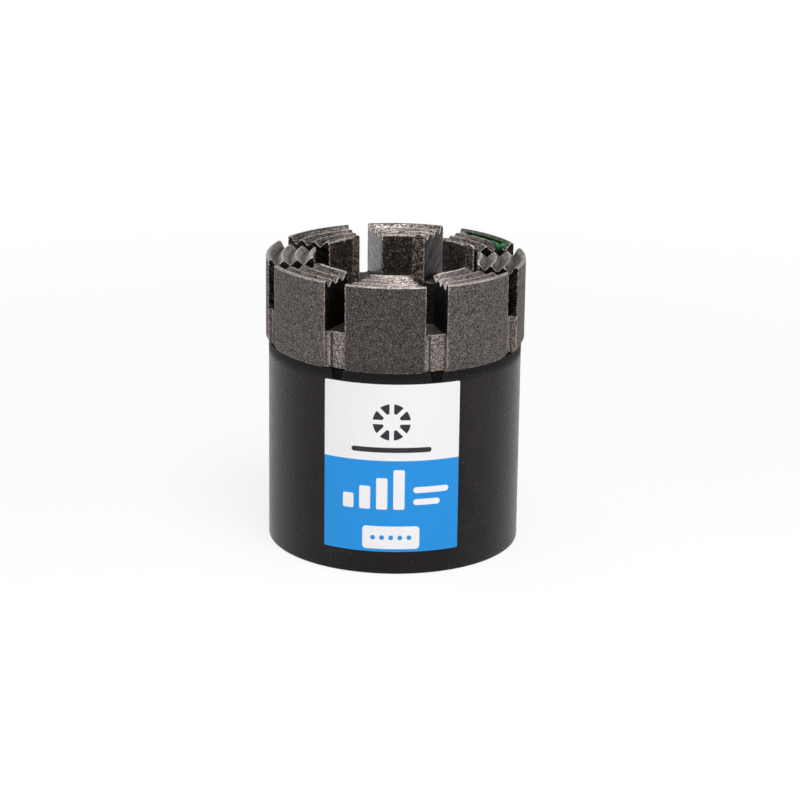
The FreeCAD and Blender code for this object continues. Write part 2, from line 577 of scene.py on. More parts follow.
class Shading:
    """The nodes of a material or of the world, which are added as they are asked for."""

    def __init__(self, tree):
        self.tree = tree

    def node(self, kind, settings, inputs, output=0):
        """Adds a node: its settings first, then the values or wires of its sockets."""
        node = self.tree.nodes.new("ShaderNode" + kind)
        for name, value in settings.items():
            setattr(node, name, value)
        for socket, value in inputs.items():
            self.feed(node.inputs[socket], value)
        return Wire(self, node.outputs[output])

    def feed(self, socket, value):
        """Links a wire to the socket, or sets a plain value on it."""
        if isinstance(value, Wire):
            self.tree.links.new(value.socket, socket)
        else:
            socket.default_value = value

    def mix(self, factor, a, b):
        """Colour a where the factor is 0 and colour b where it is 1."""
        return self.node("Mix", {"data_type": "RGBA"}, {0: factor, 6: a, 7: b}, 2)

    def ray(self, kind):
        """1 for rays of one kind, such as Camera, and 0 for the others."""
        return self.node("LightPath", {}, {}, "Is " + kind + " Ray")

    def seen(self):
        """1 for what the camera sees straight, in gloss or through glass, and 0 for soft light."""
        return (self.ray("Camera") + self.ray("Glossy") + self.ray("Transmission")).least(1.0)


print("screen white is", [round(v, 2) for v in paint(255, 255, 255)], "in linear light")


# %% A finish in millimetres
class Finish(Shading):
    """One material, measured in millimetres from the object's own origin."""

    def __init__(self, name, constants):
        self.material = bpy.data.materials.new(name)
        self.material.use_nodes = True
        super().__init__(self.material.node_tree)
        self.shader = self.tree.nodes["Principled BSDF"]
        for socket, value in constants.items():
            self.shader.inputs[socket].default_value = value
        metres = self.node("TexCoord", {}, {}, "Object")
        self.place = self.node("VectorMath", {"operation": "SCALE"}, {0: metres, "Scale": 1 / mm})
        self.x, self.y, self.z = (self.node("SeparateXYZ", {}, {0: self.place}, axis) for axis in "XYZ")

    def noise(self, size, detail=2.0, rough=0.5, place=None, stretch=(1, 1, 1)):
        """Soft noise with lumps of about that many millimetres."""
        place = place or self.place
        if stretch != (1, 1, 1):
            place = self.node("VectorMath", {"operation": "MULTIPLY"}, {0: place, 1: stretch})
        inputs = {"Vector": place, "Scale": 1 / size, "Detail": detail, "Roughness": rough}
        return self.node("TexNoise", {}, inputs)

    def grains(self, size):
        """Cells of about that many millimetres: 0 in the middle of each, and more towards its edge."""
        return self.node("TexVoronoi", {}, {"Vector": self.place, "Scale": 1 / size}, "Distance")

    def chance(self, size):
        """The same cells, each with one value by chance, from 0 to 1."""
        cell = self.node("TexVoronoi", {}, {"Vector": self.place, "Scale": 1 / size}, "Color")
        return self.node("SeparateColor", {}, {0: cell}, "Red")

    def angle(self, rise, run):
        return self.node("Math", {"operation": "ARCTAN2"}, {0: rise, 1: run})

    def attribute(self, name):
        return self.node("Attribute", {"attribute_name": name}, {}, "Fac")

    def bump(self, height, depth):
        """Feeds the height, 0 to 1, to the surface as relief of that many millimetres."""
        inputs = {"Strength": 1.0, "Distance": depth * mm, "Height": height}
        self.feed(self.shader.inputs["Normal"], self.node("Bump", {}, inputs))

    def coat_with(self, colour, roughness):
        self.feed(self.shader.inputs["Base Color"], colour)
        self.feed(self.shader.inputs["Roughness"], roughness)


def axis_distance(finish):
    return (finish.x * finish.x + finish.y * finish.y) ** 0.5


print("finishes can be mixed")

# %% [markdown]
# ## Sintered metal
#
# The crown is powder, pressed in a graphite mould and soaked with molten alloy in a
# furnace. It comes out dark, dull and grainy like fine sandpaper, because each grain
# of powder and each diamond stands a little proud. Rubbed corners turn pale, and the
# inner corners are darkened with painted shade. The mesh will carry two numbers for
# that, the distance from the nearest outer corner and from the nearest inner one.

# %% Tones, grain and places on the crown
rubbed_tones = paint(236, 224, 211), paint(160, 151, 144)
# Darkest tone: for soot and mottling, and for painted shade in corners, recesses and waterways
soot_and_shade_tone = paint(8, 7, 6)
diamond_size = 0.42
bead_size = 0.36
most_noise = (0.34, 0.66)
rim_round_z = total_height - rim_round

# Heights between which wear sets in: near the cutting face, and above the flutes
face_low_z, face_high_z = 81.5, 84.5
slot_low_z, slot_high_z = 69.0, 73.0

# Segments by their azimuth in degrees from the front
front_segment = -22.5
front_right_segment = 22.5
right_segment = 67.5
marked_segment = 112.5
back_left_segment = -112.5

print("diamonds:", diamond_size, "mm, beads on worn metal:", bead_size, "mm")


# %% Masks for the crown
def across_slot(finish, out):
    """Millimetres from the middle of the nearest waterway, more than 0 on its further side."""
    turn = finish.angle(finish.y, finish.x) / slot_angle
    off = (turn - turn.whole()) * slot_angle
    return off.sine() * out


def metal_beads(finish):
    """Small soft beads, about 0 on average, that roughen the borders of wear."""
    return finish.noise(bead_size, 2.0, 0.6) - 0.5


def rubbed_metal(finish, beads):
    return finish.mix(beads.between(-0.12, 0.1), *rubbed_tones)


def edge_marks(finish, reach, ragged):
    """Masks of rubbed outer corners and of painted shade in the inner ones, both with ragged borders.
    """
    near_face = finish.z.between(face_low_z, face_high_z)
    above_flutes = finish.z.between(slot_low_z, slot_high_z)
    worn_more = near_face * 0.35 + above_flutes * 0.2 + 0.4
    rubbed = (finish.attribute("corner") / reach + ragged).between(1.0, 0.4) * worn_more
    # Painted shade in the inner corners, with a ragged border
    crevice_shade = (finish.attribute("crevice") + ragged * 0.15).between(0.5, 0.1)
    return rubbed, crevice_shade


def ring_streaks(finish, out):
    """Fine lines that run round with the ring grooves."""
    sweep = finish.angle(finish.y, finish.x) * 4.0
    track = finish.node("CombineXYZ", {}, {0: out, 1: finish.z, 2: sweep})
    return finish.noise(0.36, 3.0, 0.65, track).between(*most_noise)


def on_segment(finish, azimuth):
    """1 on the segment at that azimuth, in degrees from the front, and 0 on the others."""
    turn = (finish.angle(finish.x, 0 - finish.y) - math.radians(azimuth)) / slot_angle
    return (abs(turn) - 0.45).between(0.15, 0.0)


print("masks know the waterways, the segments and the corners")


# %% Sinter, laid in covers
class Sinter(Finish):
    """Sintered metal, laid in covers: the grain, then sooty patches, painted shade and grit, and wear
    as the last.
    """

    def __init__(self, name, tones, grain, lump, streaks=0.0):
        """Starts with grains and lumps, in millimetres, between a dark and a pale tone."""
        super().__init__(name, {"Specular IOR Level": 0.3})
        self.out = axis_distance(self)
        self.side = across_slot(self, self.out)
        self.single = self.chance(grain)
        self.lumps = self.noise(lump, 2.0, 0.6).between(*most_noise)
        self.tone = self.single * 0.8 + self.lumps * 0.2
        if streaks:
            self.tone = self.tone * (1 - streaks) + ring_streaks(self, self.out) * streaks
        self.colour = self.mix(self.tone ** 2.1, *tones)

    def cover(self, mask, colour):
        self.colour = self.mix(mask, self.colour, colour)

    def sparks(self, share):
        """Diamonds and bright grains that stand proud, on a share of the surface."""
        lit = self.chance(diamond_size).between(1 - share, 1 - share * 0.7)
        core = self.grains(diamond_size).between(0.28, 0.12)
        self.cover(core * lit * 0.85, paint(206, 194, 184))

    def wear(self, reach, metal, dullness, relief, crevice_shade_share=0.75):
        """Covers the corners: bright beads where rubbed, painted shade in the inner corners, and a rim
        of paler rubbed metal.
        """
        beads = metal_beads(self)
        ragged = beads * 6.0 + (self.noise(2.4, 1.0, 0.5) - 0.5) * 2.0
        rubbed, crevice_shade = edge_marks(self, reach, ragged)
        rim = (self.out - beads * 0.5).between(crown_r - 0.65, crown_r - 0.45)
        rim = rim * (self.z + beads * 0.3).between(rim_round_z, rim_round_z + 0.2)
        rubbed = rubbed.most(rim * (0.15 + self.single * 0.7)) * 0.95
        # Painted shade darkens the inner corners
        self.cover(crevice_shade * crevice_shade_share, soot_and_shade_tone)
        self.cover(rubbed, rubbed_metal(self, beads))
        self.feed(self.shader.inputs["Metallic"], (1 - rubbed) * metal)
        self.coat_with(self.colour, dullness + self.lumps * 0.12)
        self.bump(self.tone * 0.8 + rubbed * 0.2, relief)
        return self.material


print("sinter is laid in covers")

# %% Four sintered finishes
left_x = -20.0
floors_r = 36.2


def sintered_outside():
    """Outside, finely grained and faintly mottled, with painted shade on the front segment and on the
    waterway floors.
    """
    skin = Sinter("sintered_outside", (paint(3, 3, 3), paint(165, 154, 149)), 0.19, 0.26)
    skin.cover(skin.noise(1.6, 3.0, 0.6).between(0.35, 0.7) * 0.3, soot_and_shade_tone)
    # Painted shade on the outside of the front segment
    skin.cover(on_segment(skin, front_segment) * 0.4, soot_and_shade_tone)
    skin.sparks(0.14)
    # Painted shade on the waterway floors: stronger towards the far wall of each waterway and in the
    # waterways on the left, with the grain showing through
    shadier = skin.side.between(-0.6, 0.8).most(skin.x.between(left_x + 8.0, left_x))
    painted_shade = (0.4 + shadier * 0.45) * (1.1 - skin.single * 0.45)
    skin.cover(skin.out.between(floors_r, floors_r - 0.3) * painted_shade, soot_and_shade_tone)
    return skin.wear(0.26, 0.3, 0.56, 0.10)


def pressed_face():
    """Cutting face: lines run round with its grooves, and some segments are made paler with painted
    light and one darker with painted shade.
    """
    face = Sinter("pressed_face", (paint(14, 12, 11), paint(210, 197, 190)), 0.29, 0.36, 0.3)
    # Painted light: the front, front-right and back-left segments made paler
    pale = on_segment(face, front_segment) * 0.05
    pale = pale + on_segment(face, front_right_segment) * 0.25
    pale = pale + on_segment(face, back_left_segment) * 0.25
    face.cover(pale, paint(190, 179, 174))
    # Painted shade: the right segment made darker
    face.cover(on_segment(face, right_segment) * 0.15, soot_and_shade_tone)
    rusty_land = on_segment(face, marked_segment) * face.out.between(36.3, 36.7)
    face.cover(rusty_land * 0.5, paint(104, 68, 62))
    face.sparks(0.24)
    return face.wear(0.24, 0.8, 0.26, 0.10)


def cast_bore():
    """Bore, dark and lumpy with sooty patches, painted shade further down, and pale grit on the slope
    of each flute.
    """
    bore = Sinter("cast_bore", (paint(1, 1, 1), paint(102, 89, 82)), 0.36, 0.7)
    bore.sparks(0.4)
    patches = bore.noise(2.6, 2.0, 0.6, stretch=(1, 1, 2)).between(0.48, 0.66)
    bore.cover(patches * 0.6, soot_and_shade_tone)
    marked = on_segment(bore, marked_segment)
    bore.cover(marked * 0.2, soot_and_shade_tone)
    slope = bore.side.between(half_slot, half_slot + 0.2)
    slope = slope * bore.side.between(slope_y + 0.2, slope_y - 0.2)
    grit = bore.chance(diamond_size).between(0.35, 0.95) * (0.6 - marked * 0.35)
    bore.cover(slope * grit, paint(184, 168, 156))
    # Painted shade deeper in the bore, below the waterway floors
    bore.cover(bore.z.between(slot_high_z, slot_high_z - 7.0) * 0.75, soot_and_shade_tone)
    return bore.wear(0.3, 0.35, 0.50, 0.16)


def flute_floor():
    """Outer flutes, bright and sparkling, with a strip of sooty grime and painted shadow along the foot
    of the ledge.
    """
    flute = Sinter("flute_floor", (paint(58, 53, 50), paint(210, 195, 190)), 0.27, 0.4)
    flute.sparks(0.2)
    # Soot and painted shadow along the foot of the ledge, wider in the flutes on the left
    wider = flute.x.between(left_x, left_x + 10.0) * 0.5
    soot_and_shadow_band = flute.side.between(ledge_y - 0.02, ledge_y + 0.06)
    soot_and_shadow_band = soot_and_shadow_band * flute.side.between(wider + ledge_y + 0.45, wider + ledge_y + 0.2)
    flute.cover(soot_and_shadow_band * (0.55 + flute.single * 0.3), soot_and_shade_tone)
    return flute.wear(0.26, 0.35, 0.5, 0.12, 0.3)


crown_finishes = [sintered_outside(), pressed_face(), cast_bore(), flute_floor()]
print("sintered finishes:", [finish.name for finish in crown_finishes])

# %% [markdown]
# ## Sawn walls
#
# A grinding disc opens each pair of waterways. Its centre stands above the middle of the
# bit, so it leaves arcs about that centre on both walls, and the metal there is bare
# and smoother than the rest. The arcs are noise that is drawn along the distance from
# the disc's centre, which needs no pattern of lines laid by hand. Only the waterway at
# the back and the next one to the right keep their bare metal, with one wall left bright
# and painted shade on the other, darker lower down and towards the bore. All the others
# are painted black as shade, with pale grit near the rim. Masks that go by place in
# millimetres keep those two free of it, so all the walls can share one finish.

# %% Finish of the sawn walls
disc_z = 122.0
# Where the walls keep their bare metal without the painted black shade: the waterway at the back and
# the next one to the right
unshaded_from_y = (5.0, 18.0)
unshaded_from_x = (-12.0, -8.0)
sawn_reach = 0.22


def sawn_wall():
    """Bare metal with the fine arcs that a disc leaves, under painted black shade in all but two
    waterways.
    """
    gloss = {"Specular IOR Level": 0.4, "Specular Tint": (0.85, 0.85, 0.85, 1.0)}
    finish = Finish("sawn_wall", gloss)
    out = axis_distance(finish)
    rise = finish.z - disc_z
    reach = (out * out + rise * rise) ** 0.5
    sweep = finish.angle(out, rise) * 2.2
    turn = finish.angle(finish.y, finish.x) * 3.0
    track = finish.node("CombineXYZ", {}, {0: reach, 1: sweep, 2: turn})
    coarse = finish.noise(0.75, 3.0, 0.65, track).between(*most_noise)
    fine = finish.noise(0.26, 2.0, 0.6, track).between(*most_noise)
    lines = (coarse * 0.3 + fine * 0.7).between(0.18, 0.82)
    grain = finish.chance(0.3)
    colour = finish.mix(lines * 0.85 + grain * 0.15, paint(12, 12, 12), paint(157, 153, 154))

    # In those two waterways one wall stays bright and the other gets painted shade, darker lower down
    # and towards the bore
    unshaded = finish.y.between(*unshaded_from_y) * finish.x.between(*unshaded_from_x)
    bright = across_slot(finish, out).between(0.1, -0.1) * unshaded
    depth_shade = finish.z.between(84.0, 72.0) * 0.6 + out.between(35.0, 25.0) * 0.3
    dull = (1 - bright) * (1.25 - lines * 0.6)
    colour = finish.mix(dull * (0.48 + depth_shade * 0.4), colour, paint(8, 7, 7))
    # All the other walls are painted black as shade, with pale grit near the rim showing through
    grit = finish.chance(diamond_size).between(0.6, 0.9) * out.between(34.0, 36.0)
    grit = grit * finish.z.between(84.5, 82.5)
    painted_shade = finish.mix(grit, paint(4, 3, 3), paint(66, 55, 48))
    colour = finish.mix((1 - unshaded) * (0.86 + grit * 0.1), colour, painted_shade)
    colour = finish.mix(grit * unshaded * 0.3, colour, paint(100, 88, 80))

    beads = metal_beads(finish)
    rubbed, crevice_shade = edge_marks(finish, sawn_reach, beads * 6.0)
    # Painted shade in the inner corners
    colour = finish.mix(crevice_shade * 0.8, colour, soot_and_shade_tone)
    colour = finish.mix(rubbed * 0.9, colour, rubbed_metal(finish, beads))
    finish.feed(finish.shader.inputs["Metallic"], (1 - rubbed) * (1 - grit * 0.4))
    finish.coat_with(colour, 0.20 + lines * 0.12 + (1 - bright) * 0.2 + grit * 0.2)
    finish.bump(lines * 0.7 + grain * 0.3, 0.05)
    return finish.material


crown_finishes.append(sawn_wall())
print("sawn walls: arcs about a centre", disc_z, "mm up")

# %% [markdown]
# ## Welding and wearing the crown
#
# Welded, the patches become one closed skin. A new bit has crisp corners, but powder
# metal never comes out of its mould with a knife edge, so every outer corner is eroded
# by a few hundredths of a millimetre, unevenly. A bevel modifier would round all of
# them alike. Here each point near a corner sinks along its own normal by an amount that
# noise decides, and all faces but the sawn ones get a faint unevenness as well.

# %% Corners to measure from
hard_corner = math.radians(30)


def search_tree(points):
    """The points in a tree that finds the nearest one to any place."""
    tree = kdtree.KDTree(len(points))
    for index, point in enumerate(points):
        tree.insert(point, index)
    tree.balance()
    return tree


def corner_lines(bm, sign):
    """Points along the hard outer (+1) or inner (-1) corners, to measure distances from."""
    points = []
    for edge in bm.edges:
        if edge.calc_face_angle_signed(0.0) * sign > hard_corner:
            a, b = (v.co for v in edge.verts)
            points += [a.lerp(b, t) for t in (0.0, 0.25, 0.5, 0.75, 1.0)]
    return search_tree(points)


def corner_tips(bm):
    """The points where three hard outer corners meet, which wear off first."""
    far_away = Vector((0, 0, 1))
    tips = []
    for vertex in bm.verts:
        hard = [e for e in vertex.link_edges if e.calc_face_angle_signed(0.0) > hard_corner]
        if len(hard) > 2:
            tips.append(vertex.co)
    return search_tree(tips + [far_away])


print("corners harder than", round(math.degrees(hard_corner)), "degrees will wear")

# %% Wearing a piece
corner_reach = 0.5
tip_reach = 1.8
farthest_mark = 3.0
smooth_corner = math.radians(33)


def wear_down(piece, loss, unevenness):
    """Marks the distances from the corners, then erodes them.

    The loss has its least and its most along a corner, and more at the tips. The
    unevenness has one value for each of the piece's finishes. All are in millimetres.
    """
    bm = bmesh.new()
    bm.from_mesh(piece.data)
    outer, inner = corner_lines(bm, 1), corner_lines(bm, -1)
    tips = corner_tips(bm)
    corner = bm.verts.layers.float.new("corner")
    crevice = bm.verts.layers.float.new("crevice")
    moves = []
    for vertex in bm.verts:
        vertex[corner] = min(outer.find(vertex.co)[2] / mm, farthest_mark)
        vertex[crevice] = min(inner.find(vertex.co)[2] / mm, farthest_mark)
        near = max(0.0, 1 - vertex[corner] / corner_reach) ** 2
        slow, quick = (noise.noise(vertex.co / (size * mm)) for size in (1.1, 0.43))
        chance = 0.5 + 0.3 * slow + 0.5 * quick
        depth = near * (loss[0] + max(0.0, chance) * (loss[1] - loss[0]))
        depth += loss[2] * max(0.0, 1 - tips.find(vertex.co)[2] / mm / tip_reach) ** 2
        swell = min(unevenness[face.material_index] for face in vertex.link_faces)
        depth += swell * (0.5 + 0.5 * noise.noise(vertex.co / (2.3 * mm)))
        moves.append(vertex.normal * (-depth * mm))
    for vertex, move in zip(bm.verts, moves):
        vertex.co += move
    bm.to_mesh(piece.data)
    bm.free()
    piece.data.shade_smooth()
    piece.data.set_sharp_from_angle(angle=smooth_corner)


print("wear reaches", corner_reach, "mm from a corner and", tip_reach, "mm from a tip")

# %% Crown piece
bit_crown = crown_skin.weld("bit_crown", crown_finishes)
wear_down(bit_crown, (0.0, 0.20, 0.45), [0.03, 0.07, 0.10, 0.05, 0.0])
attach(bit_crown, "root")
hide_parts("crown")
print("crown:", len(bit_crown.data.polygons), "faces")

# %% [markdown]
# ## Blackened steel
#
# The blank is turned from tube and coated black. A lathe tool leaves a very fine screw
# line all over it, and the coat evens that out to a satin sheen. At the rims the satin
# shows the bright studio, in the middle it stays nearly black. Corners that touched the
# bench show a little bare steel.

# %% Finish of the blank
tool_feed = 0.65
bore_feed = 0.3
warm_gloss = (1.0, 0.93, 0.96, 1.0)
ridge_gain = 5.0
notch_z = 56.0


def blackened(name, base, feed, relief, dullness):
    """Black satin coat over turned steel, with its screw line of one feed in millimetres."""
    finish = Finish(name, {"Specular IOR Level": 0.19, "Specular Tint": warm_gloss})
    turn = finish.angle(finish.y, finish.x) / (2 * math.pi)
    smear = finish.noise(1.6, 3.0, 0.6, stretch=(1, 1, 0.4)) - 0.5
    phase = (finish.z / feed + turn + smear * 0.6) * (2 * math.pi)
    screw = phase.sine() * 0.5 + 0.5
    patch = finish.noise(7.0, 3.0, 0.6).between(0.3, 0.75)
    high = finish.z.between(20.0, 58.0)
    ridge = screw * (0.35 + patch * 0.25 + high * 0.4)
    peel = finish.noise(0.4, 2.0, 0.55).between(0.3, 0.7)
    dust = finish.chance(0.3).between(0.96, 0.99) * finish.noise(5.0, 2.0, 0.5).between(0.5, 0.66)
    # Painted shade in a strip just below the crown, whose foot overhangs the steel; the strip is also
    # made rougher
    under_crown_shade = finish.z.between(joint_z - 4.5, joint_z - 1.0)
    notch = (shank_r - axis_distance(finish)).between(0.02, 0.12)
    notch = notch * finish.z.between(notch_z, notch_z + 0.5)
    rubbed, crevice_shade = edge_marks(finish, 0.12, (peel - 0.5) * 2.0)
    bright = [v * ridge_gain for v in base[:3]] + [1.0]
    colour = finish.mix(patch * 0.15 + ridge * 0.85, base, bright)
    # Painted shade below the crown and in the inner corners, and the bare notch of each run-out, all
    # nearly black
    colour = finish.mix((under_crown_shade * 0.85 + crevice_shade * 0.8 + notch).least(1.0), colour, paint(2, 1, 1))
    colour = finish.mix(dust * 0.25, colour, paint(120, 118, 116))
    colour = finish.mix(rubbed * 0.5 * (1 - notch), colour, paint(116, 114, 112))
    finish.feed(finish.shader.inputs["Metallic"], rubbed * 0.5)
    dull = dullness + patch * 0.05 - ridge * 0.14 + under_crown_shade * 0.4
    finish.coat_with(colour, dull.most(notch * 0.9))
    finish.bump(ridge * 0.8 * (1 - notch) + peel * (0.2 + notch * 3.0), relief)
    return finish.material


outside_finish = blackened("black_satin_coat", paint(9, 6, 7), tool_feed, 0.16, 0.29)
inside_finish = blackened("black_oxide_bore", paint(17, 16, 16), bore_feed, 0.03, 0.42)
print("blank finishes:", outside_finish.name, inside_finish.name)

# %% [markdown]
# ## Turning the blank
#
# What a lathe makes is drawn the way a lathe makes it: half a section, spun about the
# axis. The section below has the whole inside too, because the bit is often laid down
# or held so that one looks into it: the mouth, the threaded bore, the relief behind the
# thread, the shoulder, and the bore that the core lifter case slides in.

# %% Section of the blank
OUTSIDE, INSIDE = range(2)

thread_r = 33.1
relief_r = 33.7
mouth_r = 33.6
case_r = 28.3
shoulder_z = 42.0
thread_low_z = 3.0
thread_high_z = 37.4
relief_low_z = 38.0
mouth_high_z = 2.5
mouth_bevel = 0.8
rim_foot_r = 36.4

outside_section = [
    (rim_foot_r, 0.0), (36.58, 0.06), (36.82, 0.28), (shank_r, 0.5),
    (shank_r, joint_z), (neck_outer_r, joint_z),
]
inside_section = neck_section + [
    (seat_r, leg_z), (case_r, leg_z + seat_r - case_r), (case_r, shoulder_z),
    (relief_r, shoulder_z), (relief_r, relief_low_z),
    (thread_r, thread_high_z), (thread_r, thread_low_z),
    (mouth_r, mouth_high_z), (mouth_r, mouth_bevel), (mouth_r + mouth_bevel, 0.0),
    (rim_foot_r, 0.0),
]


def stepped(section, step):
    """The section with extra points, so that none is further than a step from the next."""
    rows = []
    for a, b in zip(section, section[1:]):
        a, b = np.array(a), np.array(b)
        count = max(1, math.ceil(np.linalg.norm(b - a) / step))
        rows += [a + (b - a) * k / count for k in range(count)]
    return np.array(rows + [np.array(section[-1])])


blank_skin = Skin()
blank_turns = np.linspace(0, 2 * math.pi, 241)
for section, step, finish in ((outside_section, 1.2, OUTSIDE), (inside_section, 2.5, INSIDE)):
    rows = stepped(section, step)
    blank_skin.grid(polar(rows[:, :1], blank_turns, rows[:, 1:]), finish)
turned_blank = blank_skin.weld("turned_blank", [outside_finish, inside_finish])
print("blank:", len(turned_blank.data.polygons), "faces before the run-outs")

# %% [markdown]
# ## Where two flutes run out
#
# Below the two front waterways the flute cutter ran a little way into the steel and left
# a short notch that gets shallower. Each is cut with a boolean and a wedge, as the
# cutter did it. The wedge sticks out of the steel at its top and outside, because faces
# that lie in each other make a boolean fail.

# %% Run-outs
runout_slots = (-2, -3)
runout_ends = ((joint_z + 0.5, 35.566, -1.58, 2.58), (57.2, 36.45, -1.05, 2.05))
clear_of_blank = 39.0


def wedge(angle):
    """Cutter for one run-out, turned to its waterway."""
    corners = []
    for z, floor, left, right in runout_ends:
        corners += [(floor, left, z), (clear_of_blank, left, z)]
        corners += [(clear_of_blank, right, z), (floor, right, z)]
    points = turned(np.array(corners), angle).reshape(2, 4, 3)
    skin = Skin()
    skin.grid(np.concatenate([points, points[:, :1]], axis=1), 0)
    for end in points:
        skin.grid(end[[0, 1, 3, 2]].reshape(2, 2, 3), 0)
    return skin.weld("wedge", [outside_finish])


def keep_shape(piece):
    """Makes what the piece's modifiers show its own mesh, and takes them off."""
    bpy.context.view_layer.update()
    shown = piece.evaluated_get(bpy.context.evaluated_depsgraph_get())
    shape = bpy.data.meshes.new_from_object(shown)
    piece.modifiers.clear()
    piece.data = shape


def cut(piece, tool):
    """Cuts the tool out of the piece for good, and deletes the tool."""
    modifier = piece.modifiers.new("cut", "BOOLEAN")
    modifier.operation = "DIFFERENCE"
    modifier.solver = "EXACT"
    modifier.object = tool
    keep_shape(piece)
    bpy.data.objects.remove(tool)


for k in runout_slots:
    cut(turned_blank, wedge(k * slot_angle))
wear_down(turned_blank, (0.0, 0.03, 0.0), [0.0, 0.0])
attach(turned_blank, "root")
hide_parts("steel_blank")
print("blank:", len(turned_blank.data.polygons), "faces")

# %% [markdown]
# ## The box thread
#
# The reaming shell screws into the blank. A thread is a ridge on a helix, so its section
# is carried round and up at the same time. It starts and ends by growing out of the
# wall over a quarter of a turn, as a thread does that was cut with a tool that eased in.

# %% Thread ridge
thread_pitch = 6.35
thread_turns = 5.1
thread_start_z = 4.2
ridge_height = 0.95
ridge_root = 3.4
ridge_crest = 2.6
ridge_points = 72
rooted = 0.06
ease_turns = 0.25
thinnest_ridge = 0.02
crest_drop = 0.12


def thread_ridge():
    """One closed ridge on a right-handed helix."""
    count = int(thread_turns * ridge_points)
    rows = []
    for i in range(count + 1):
        turn = i / ridge_points
        grown = min(1.0, turn / ease_turns, (thread_turns - turn) / ease_turns)
        root_r = thread_r + rooted
        crest_r = root_r - (rooted + max(thinnest_ridge, grown * ridge_height))
        upper = np.array([
            (root_r, ridge_root / 2),
            (crest_r + crest_drop, ridge_crest / 2 + 0.08),
            (crest_r, ridge_crest / 2 - 0.1),
        ])
        section = np.concatenate([upper * (1, -1), upper[::-1]])
        z = thread_start_z + turn * thread_pitch
        rows.append(polar(section[:, 0], 2 * math.pi * turn, z + section[:, 1]))
    rows = np.array(rows)
    skin = Skin()
    skin.grid(np.concatenate([rows, rows[:, :1]], axis=1), 0)
    for end in (rows[0], rows[-1]):
        skin.grid(np.stack([end[:3], end[:2:-1]]), 0)
    return skin.weld("box_thread", [inside_finish])


box_thread = thread_ridge()
wear_down(box_thread, (0.0, 0.02, 0.0), [0.0])
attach(box_thread, "root")
print("thread:", thread_turns, "turns,", len(box_thread.data.polygons), "faces")

# %% [markdown]
# ## The label
#
# A printed film sticker, 40 by 50 mm flat, goes round the blank. It is a thin sheet with
# its own thickness, so its edge shows when one looks along the steel. The print is drawn
# in the material: a place on the label is a length round the steel and a height, and
# each printed shape is a distance from a line, cut off softly. The shapes are plain
# ones: a bit seen from its end, bars, and dots on a panel.

# %% Label sizes and printed shapes
label_middle = math.radians(-19.1)
label_width = 40.0
label_height = 50.0
label_low_z = 6.9
label_split = 27.4
label_thickness = 0.12

film_white = paint(236, 235, 236)
film_blue = paint(8, 140, 218)
print_dark = paint(34, 34, 40)
print_blur = 0.05
first_bar_u = -12.4
bar_pitch = 4.9
panel_middle = (0.1, 4.28)
dot_pitch = 2.6


def printed_box(u, v, middle, half, radius):
    """Mask of a printed box with round corners, 1 inside."""
    past = [(abs(w - m) - (h - radius)).most(0.0) for w, m, h in zip((u, v), middle, half)]
    return ((past[0] * past[0] + past[1] * past[1]) ** 0.5 - radius).between(print_blur, -print_blur)


def printed_bit(finish, u, v, middle, radii, gap):
    """Mask of a ring with eight gaps, as a bit looks from its end."""
    across, up = u - middle[0], v - middle[1]
    out = (across * across + up * up) ** 0.5
    ring = (abs(out - sum(radii) / 2) - (radii[1] - radii[0]) / 2).between(print_blur, -print_blur)
    turn = finish.angle(up, across) / slot_angle
    off = abs(turn - turn.whole()) * out * slot_angle
    return ring * off.between(gap / 2 - print_blur, gap / 2 + print_blur)


print("print edges are", 2 * print_blur, "mm soft")


# %% Label finish
def film():
    """White and blue gloss film with plain printed shapes."""
    finish = Finish("label_film", {"Specular IOR Level": 0.28, "Coat Roughness": 0.22})
    u = (finish.angle(finish.x, 0 - finish.y) - label_middle) * shank_r
    v = finish.z - label_low_z
    lower = (v - label_split).between(print_blur, -print_blur)
    colour = finish.mix(lower, film_white, film_blue)

    mark = printed_bit(finish, u, v, (0.0, 38.9), (2.6, 5.4), 1.3)
    mark = mark + printed_box(u, v, (0.0, 30.6), (11.5, 0.75), 0.75)
    colour = finish.mix(mark, colour, print_dark)

    bars = printed_box(u, v, (first_bar_u, 15.0), (1.6, 2.2), 0.5)
    for k in range(1, 4):
        rise = 2.2 + k * 1.25
        place = (first_bar_u + bar_pitch * k, 12.8 + rise)
        bars = bars + printed_box(u, v, place, (1.6, rise), 0.5)
    bars = bars + printed_box(u, v, (11.6, 18.6), (5.2, 0.9), 0.9)
    bars = bars + printed_box(u, v, (10.3, 15.0), (3.9, 0.9), 0.9)
    colour = finish.mix(bars, colour, film_white)

    panel = printed_box(u, v, panel_middle, (8.2, 3.43), 1.1)
    colour = finish.mix(panel, colour, film_white)
    dots = 0.0
    for k in range(-2, 3):
        place = (panel_middle[0] + dot_pitch * k, panel_middle[1])
        dots = printed_box(u, v, place, (0.7, 0.7), 0.7) + dots
    colour = finish.mix(dots, colour, film_blue)

    inked = (lower + mark).least(1.0)
    fibre = finish.noise(0.9, 3.0, 0.55)
    colour = finish.mix(fibre.between(0.42, 0.8) * 0.05, colour, paint(120, 120, 124))
    finish.feed(finish.shader.inputs["Coat Weight"], 0.06 + fibre * 0.06)
    finish.coat_with(colour, 0.34 + fibre * 0.08 - inked * 0.04)
    finish.bump(fibre * 0.7 + finish.noise(7.0, 1.0, 0.5) * 0.3, 0.012)
    return finish.material


film_finish = film()
print("label print ready,", label_width, "by", label_height, "mm flat")

# %% Label piece
label_corner = 0.45
label_sunk = 0.01


